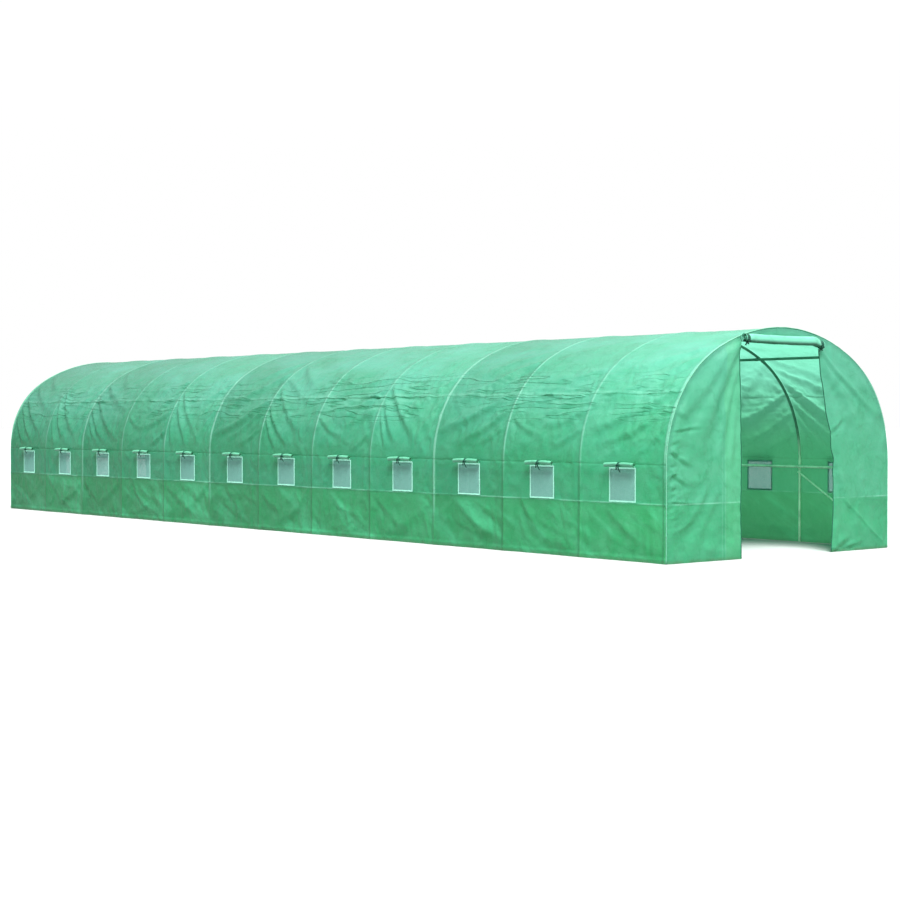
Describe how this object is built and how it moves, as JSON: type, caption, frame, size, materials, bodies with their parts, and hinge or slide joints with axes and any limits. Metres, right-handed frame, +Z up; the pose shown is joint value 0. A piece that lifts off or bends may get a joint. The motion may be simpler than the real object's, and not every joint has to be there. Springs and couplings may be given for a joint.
{
  "type": "polytunnel greenhouse",
  "caption": "Long walk-in polytunnel with a green woven cover over tube hoops, screened side windows with rolled flaps and a roll-up door in each gable.",
  "frame": {"origin": "on the ground below the middle of the ridge", "axes": "+Z up, +Y along the ridge towards the back gable, +X towards the right side seen from the front door"},
  "size_m": [3.0958, 12.1796, 2],
  "materials": {
    "tube": "galvanised",
    "clip": "galvanised",
    "cover": "translucent woven polyethylene",
    "roll": "rolled woven polyethylene",
    "strap": "webbing",
    "screen": "insect mesh"
  },
  "bodies": {
    "root": {"legs_left": "tube", "legs_right": "tube", "side_arcs_left": "tube", "side_arcs_right": "tube", "crown_arcs_left": "tube", "crown_arcs_right": "tube", "ridge_rail": "tube", "left_purlin": "tube", "right_purlin": "tube", "left_side_rail": "tube", "right_side_rail": "tube", "corner_braces": "tube", "rail_clips": "clip", "cover_left_wall": "cover", "cover_left_eave": "cover", "cover_left_shoulder": "cover", "cover_left_haunch": "cover", "cover_left_roof": "cover", "cover_left_ridge": "cover", "cover_right_wall": "cover", "cover_right_eave": "cover", "cover_right_shoulder": "cover", "cover_right_haunch": "cover", "cover_right_roof": "cover", "cover_right_ridge": "cover", "front_gable_left": "cover", "front_gable_right": "cover", "front_header": "cover", "back_gable_left": "cover", "back_gable_right": "cover", "back_header": "cover", "front_door_roll": "roll", "back_door_roll": "roll", "left_window_flaps": "roll", "right_window_flaps": "roll", "front_door_ties": "strap", "back_door_ties": "strap", "left_window_ties": "strap", "right_window_ties": "strap", "left_window_screens": "screen", "right_window_screens": "screen"}
  },
  "joints": []
}
